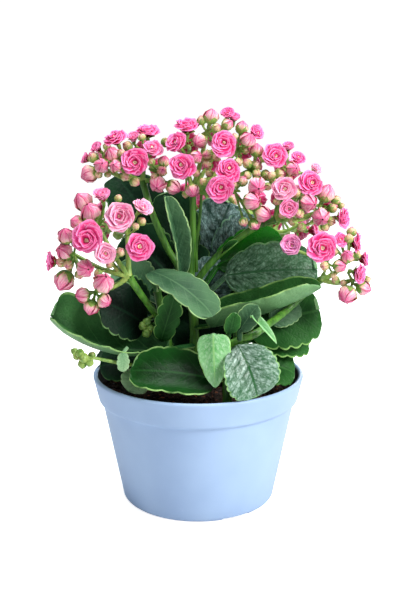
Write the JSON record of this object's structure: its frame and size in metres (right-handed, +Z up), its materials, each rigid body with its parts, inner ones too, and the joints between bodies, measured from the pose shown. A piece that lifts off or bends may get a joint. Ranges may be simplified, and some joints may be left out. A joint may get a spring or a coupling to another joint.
{
  "type": "potted kalanchoe",
  "caption": "Flowering succulent pot plant with thick scalloped leaves and heads of small double pink flowers, standing in its round plastic nursery pot.",
  "frame": {"origin": "middle of the pot's underside, on the surface it stands on", "axes": "+Z up, -Y the plant's front, +X to the right seen from the front"},
  "size_m": [0.1731, 0.1468, 0.2216],
  "materials": {
    "pot_plastic": "pale blue thin plastic, black inside, satin",
    "potting_mix": null,
    "leaf": null,
    "stem": null,
    "petal": null,
    "green_bud": null
  },
  "bodies": {
    "root": {"pot": "pot_plastic", "potting_mix": "potting_mix", "shoot_main": "stem", "shoot_left": "stem", "shoot_front": "stem", "shoot_right": "stem", "shoot_back": "stem", "stalk_top": "stem", "stalk_upper_left": "stem", "stalk_upper_right": "stem", "stalk_lower_left": "stem", "stalk_lower_right": "stem", "stalk_back_left": "stem", "stalk_back_right": "stem", "stalk_back": "stem", "leaf_left_long": "leaf", "leaf_left_dark": "leaf", "leaf_left_mid": "leaf", "leaf_left_upper": "leaf", "leaf_left_back": "leaf", "leaf_left_scallop": "leaf", "leaf_middle_left": "leaf", "leaf_middle_right": "leaf", "leaf_upper_left": "leaf", "leaf_upper_mid": "leaf", "leaf_folded_upright": "leaf", "leaf_front_droop": "leaf", "leaf_front_big": "leaf", "leaf_front_quilted": "leaf", "leaf_front_hanging": "leaf", "leaf_tip_left": "leaf", "leaf_tip_right": "leaf", "leaf_pot_left_pale": "leaf", "leaf_pot_left": "leaf", "leaf_pot_left_back": "leaf", "leaf_pot_right": "leaf", "leaf_right_small": "leaf", "leaf_right_big": "leaf", "leaf_right_under": "leaf", "leaf_right_glossy": "leaf", "leaf_right_long": "leaf", "leaf_right_upper": "leaf", "leaf_back_upper": "leaf", "leaf_back_right": "leaf", "leaf_rear_left_low": "leaf", "leaf_rear_right_low": "leaf", "leaf_rear_low": "leaf", "leaf_rear_left": "leaf", "leaf_rear_right": "leaf", "head_upper_left": "petal", "head_top": "petal", "head_upper_right": "petal", "head_lower_left": "petal", "head_lower_right": "petal", "head_back_left": "petal", "head_back_right": "petal", "head_back": "petal", "cluster_low_left": "green_bud", "cluster_green": "green_bud"}
  },
  "joints": []
}
